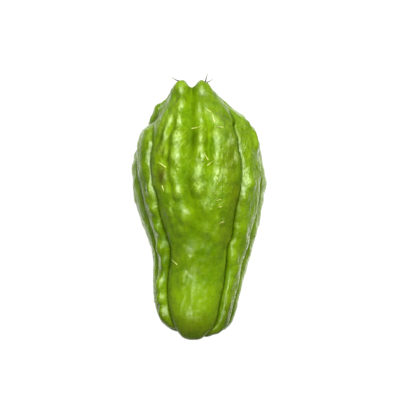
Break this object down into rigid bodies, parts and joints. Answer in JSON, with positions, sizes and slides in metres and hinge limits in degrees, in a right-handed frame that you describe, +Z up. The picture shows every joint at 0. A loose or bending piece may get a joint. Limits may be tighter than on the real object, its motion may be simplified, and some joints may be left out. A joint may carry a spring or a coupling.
{
  "type": "chayote squash",
  "caption": "Whole pear-shaped chayote squash lying on its side, with deep creases between its lobes, low swellings and sparse soft prickles.",
  "frame": {"origin": "on the table, under the middle of the fruit's bounding box", "axes": "+Z up from the table, +Y along the fruit towards the blossom end, +X across it"},
  "size_m": [0.0787, 0.1532, 0.0686],
  "materials": {
    "chayote_skin": "waxy yellow-green skin, mottled, glossy on the swellings"
  },
  "bodies": {
    "root": {"chayote_fruit": "chayote_skin"}
  },
  "joints": []
}
